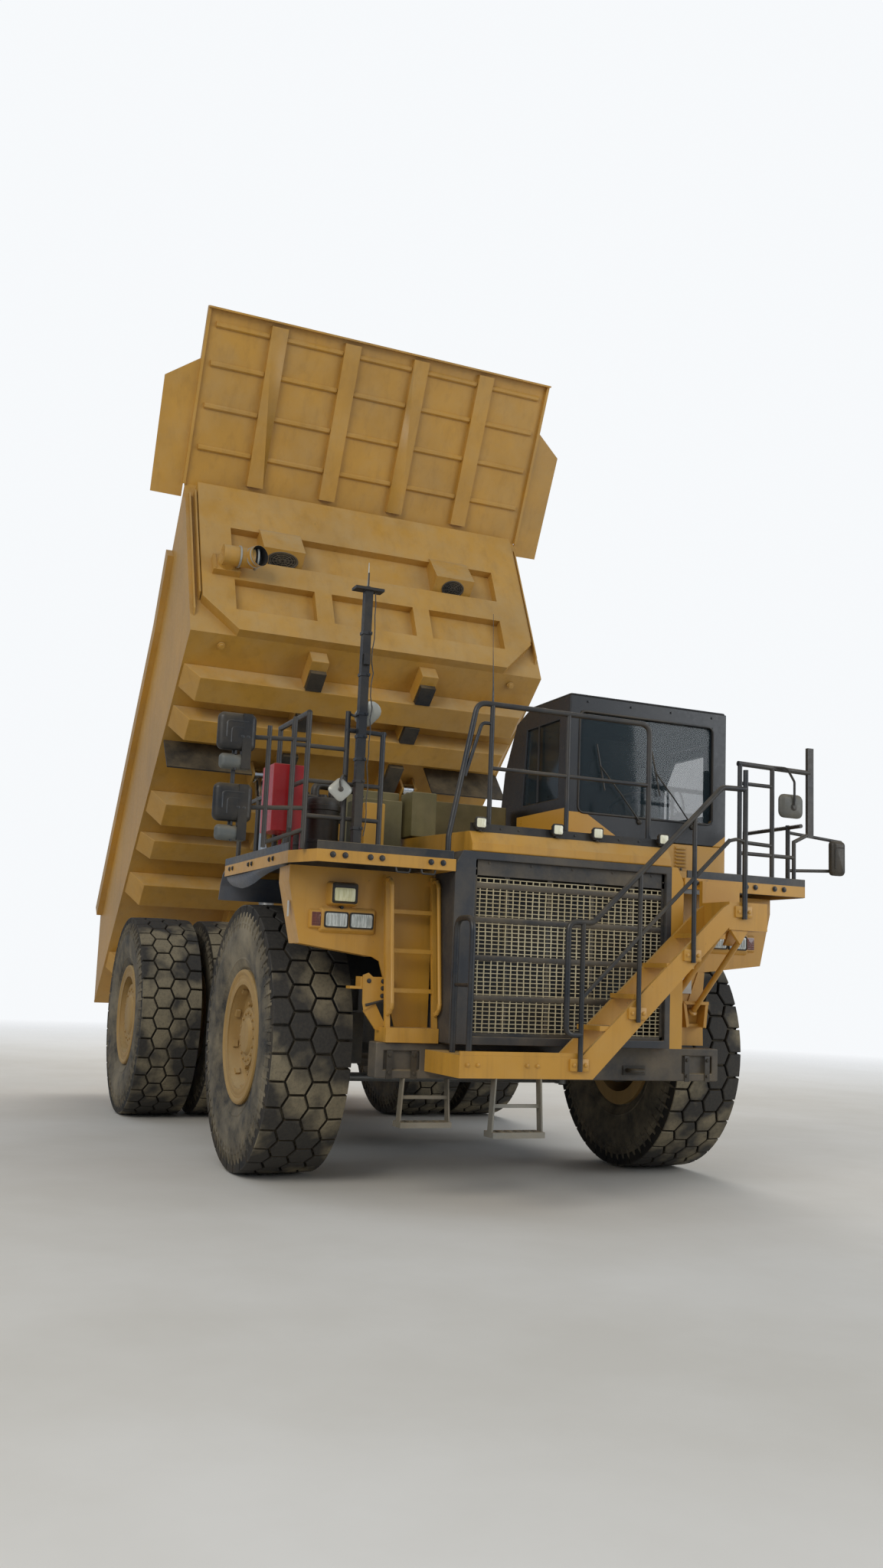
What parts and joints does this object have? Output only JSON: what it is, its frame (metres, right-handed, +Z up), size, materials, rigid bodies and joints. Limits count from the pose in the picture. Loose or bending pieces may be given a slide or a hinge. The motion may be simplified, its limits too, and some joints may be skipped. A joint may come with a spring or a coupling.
{
  "type": "mining dump truck",
  "caption": "Rigid mining dump truck with raised load bed, canopy, cab, decks, stairs, steering front wheels and twin rear wheels",
  "frame": {"origin": "on the ground under the middle of the truck's overall box", "axes": "+X towards the front of the truck, +Y towards the driver's left, +Z up"},
  "size_m": [9.7253, 5.483, 8.837],
  "materials": {
    "body_paint": "satin",
    "chassis_paint": "satin",
    "cab_paint": "gloss",
    "rim_paint": "matte",
    "rail_paint": "satin",
    "grille_mesh": "matte",
    "cabinet_red": "satin",
    "box_olive": "matte",
    "engine_grey": "matte",
    "cylinder_steel": "satin",
    "cylinder_chrome": "polished",
    "tyre_rubber": "matte",
    "flap_rubber": "matte",
    "window_glass": "gloss",
    "lamp_glass": "gloss",
    "step_aluminium": "matte",
    "guard_grey": "matte",
    "mirror_housing": "matte",
    "seat_cloth": "matte",
    "cab_plastic": "matte"
  },
  "bodies": {
    "chassis": {"frame": "chassis_paint", "engine_block": "engine_grey", "driveline": "engine_grey", "front_bumper": "chassis_paint", "radiator_housing": "chassis_paint", "grille": "grille_mesh", "hood": "body_paint", "deck_right": "body_paint", "deck_left": "body_paint", "light_panels": "body_paint", "headlamps": "lamp_glass", "ladder_right": "body_paint", "front_stairs": "body_paint", "hanging_steps": "step_aluminium", "stair_rails": "rail_paint", "front_handrails": "rail_paint", "side_rails": "rail_paint", "mirrors": "mirror_housing", "mast": "rail_paint", "deck_cabinet": "cabinet_red", "deck_boxes": "box_olive", "mudguard": "guard_grey", "cab_base": "body_paint", "cab_shell": "cab_paint", "cab_glass": "window_glass", "seat": "seat_cloth", "steering_wheel": "cab_plastic", "tanks": "chassis_paint", "front_struts": "cylinder_steel", "rear_axle": "engine_grey"},
    "knuckle_left_body": {"knuckle_left": "engine_grey"},
    "knuckle_right_body": {"knuckle_right": "engine_grey"},
    "wheel_front_left": {"tyre_front_left": "tyre_rubber", "rim_front_left": "rim_paint"},
    "wheel_front_right": {"tyre_front_right": "tyre_rubber", "rim_front_right": "rim_paint"},
    "wheel_rear_left": {"tyres_rear_left": "tyre_rubber", "rims_rear_left": "rim_paint"},
    "wheel_rear_right": {"tyres_rear_right": "tyre_rubber", "rims_rear_right": "rim_paint"},
    "tie_rod_body": {"tie_rod": "cylinder_steel"},
    "steer_rod_left_body": {"steer_rod_left": "cylinder_chrome"},
    "steer_rod_right_body": {"steer_rod_right": "cylinder_chrome"},
    "bed": {"bed_shell": "body_paint", "bed_frame": "body_paint", "bed_ducts": "body_paint", "bed_flaps": "flap_rubber"},
    "hoist_barrel_left_body": {"hoist_barrel_left": "chassis_paint"},
    "hoist_barrel_right_body": {"hoist_barrel_right": "chassis_paint"},
    "hoist_stage_left_body": {"hoist_stage_left": "cylinder_steel"},
    "hoist_stage_right_body": {"hoist_stage_right": "cylinder_steel"},
    "hoist_rod_left_body": {"hoist_rod_left": "cylinder_chrome"},
    "hoist_rod_right_body": {"hoist_rod_right": "cylinder_chrome"},
    "cab_door_body": {"cab_door": "cab_paint", "cab_door_glass": "window_glass"}
  },
  "joints": [
    {"name": "steer_left", "type": "hinge", "parent": "chassis", "child": "knuckle_left_body", "pos_m": [2.6, 1.2, 1.071], "axis": [0, 0, 1], "range_deg": [-31, 31]},
    {"name": "steer_right", "type": "hinge", "parent": "chassis", "child": "knuckle_right_body", "pos_m": [2.6, -1.2, 1.071], "axis": [0, 0, 1], "range_deg": [-31, 31]},
    {"name": "tie_rod_pin", "type": "hinge", "parent": "knuckle_left_body", "child": "tie_rod_body", "pos_m": [2.08, 1.2, 0.72], "axis": [0, 0, 1], "range_deg": [-31, 31]},
    {"name": "steer_rod_left_slide", "type": "slide", "parent": "chassis", "child": "steer_rod_left_body", "axis": [0, 1, 0], "range_m": [-0.20602, 0.20602]},
    {"name": "steer_rod_right_slide", "type": "slide", "parent": "chassis", "child": "steer_rod_right_body", "axis": [0, 1, 0], "range_m": [-0.20602, 0.20602]},
    {"name": "wheel_front_left_spin", "type": "hinge", "parent": "knuckle_left_body", "child": "wheel_front_left", "pos_m": [2.6, 1.7575, 1.071], "axis": [0, 1, 0], "continuous": true},
    {"name": "wheel_front_right_spin", "type": "hinge", "parent": "knuckle_right_body", "child": "wheel_front_right", "pos_m": [2.6, -1.7575, 1.071], "axis": [0, 1, 0], "continuous": true},
    {"name": "wheel_rear_left_spin", "type": "hinge", "parent": "chassis", "child": "wheel_rear_left", "pos_m": [-1.7, 1.54, 1.071], "axis": [0, 1, 0], "continuous": true},
    {"name": "wheel_rear_right_spin", "type": "hinge", "parent": "chassis", "child": "wheel_rear_right", "pos_m": [-1.7, -1.54, 1.071], "axis": [0, 1, 0], "continuous": true},
    {"name": "bed_hinge", "type": "hinge", "parent": "chassis", "child": "bed", "pos_m": [-2.838, 0, 1.448], "axis": [0, 1, 0], "range_deg": [0, 48]},
    {"name": "hoist_tilt_left", "type": "hinge", "parent": "chassis", "child": "hoist_barrel_left_body", "pos_m": [-0.18, 0.92, 0.7], "axis": [0, 1, 0], "range_deg": [0, 22.89]},
    {"name": "hoist_stage_left_slide", "type": "slide", "parent": "hoist_barrel_left_body", "child": "hoist_stage_left_body", "axis": [-0.3972, 0, 0.9177], "range_m": [-1.01945, 0]},
    {"name": "hoist_rod_left_slide", "type": "slide", "parent": "hoist_stage_left_body", "child": "hoist_rod_left_body", "axis": [-0.3972, 0, 0.9177], "range_m": [-1.01945, 0]},
    {"name": "hoist_tilt_right", "type": "hinge", "parent": "chassis", "child": "hoist_barrel_right_body", "pos_m": [-0.18, -0.92, 0.7], "axis": [0, 1, 0], "range_deg": [0, 22.89]},
    {"name": "hoist_stage_right_slide", "type": "slide", "parent": "hoist_barrel_right_body", "child": "hoist_stage_right_body", "axis": [-0.3972, 0, 0.9177], "range_m": [-1.01945, 0]},
    {"name": "hoist_rod_right_slide", "type": "slide", "parent": "hoist_stage_right_body", "child": "hoist_rod_right_body", "axis": [-0.3972, 0, 0.9177], "range_m": [-1.01945, 0]},
    {"name": "cab_door_hinge", "type": "hinge", "parent": "chassis", "child": "cab_door_body", "pos_m": [2.54, 1.915, 3.1], "axis": [0, 0, 1], "range_deg": [0, 80]}
  ],
  "couplings": [
    {"joint": "steer_right", "follows": "steer_left", "ratio": 1},
    {"joint": "tie_rod_pin", "follows": "steer_left", "ratio": -1},
    {"joint": "steer_rod_left_slide", "follows": "steer_left", "m_per_rad": -0.38077},
    {"joint": "steer_rod_right_slide", "follows": "steer_left", "m_per_rad": -0.38077},
    {"joint": "hoist_tilt_left", "follows": "bed_hinge", "ratio": 0.4766},
    {"joint": "hoist_stage_left_slide", "follows": "bed_hinge", "m_per_rad": -1.2163},
    {"joint": "hoist_rod_left_slide", "follows": "bed_hinge", "m_per_rad": -1.2163},
    {"joint": "hoist_tilt_right", "follows": "bed_hinge", "ratio": 0.4766},
    {"joint": "hoist_stage_right_slide", "follows": "bed_hinge", "m_per_rad": -1.2163},
    {"joint": "hoist_rod_right_slide", "follows": "bed_hinge", "m_per_rad": -1.2163}
  ]
}
